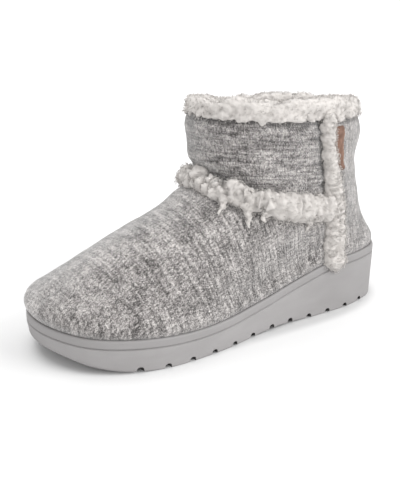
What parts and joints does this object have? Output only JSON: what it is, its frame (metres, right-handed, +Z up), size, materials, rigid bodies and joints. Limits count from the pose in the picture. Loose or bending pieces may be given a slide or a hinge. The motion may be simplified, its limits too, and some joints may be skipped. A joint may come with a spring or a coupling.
{
  "type": "bootie slipper",
  "caption": "Knitted ankle bootie slipper with a fleece collar, ankle band and side strips, on a thick moulded sole with cross channels; left foot, hollow and open at the collar.",
  "frame": {"origin": "on the floor, under the middle of the shoe's box", "axes": "+X along the sole to the toe, +Y to the outer side (the wearer's left), +Z up"},
  "size_m": [0.265, 0.1074, 0.1525],
  "materials": {
    "knit": "heathered grey knit",
    "moulded_sole": "matte moulded foam rubber",
    "fleece": "curly off-white pile",
    "leather": "tan, smooth"
  },
  "bodies": {
    "root": {"sole": "moulded_sole", "upper": "knit", "insole": "fleece", "fleece_collar": "fleece", "side_strip_outer": "fleece", "side_strip_inner": "fleece", "ankle_band": "fleece", "badge": "leather"}
  },
  "joints": []
}
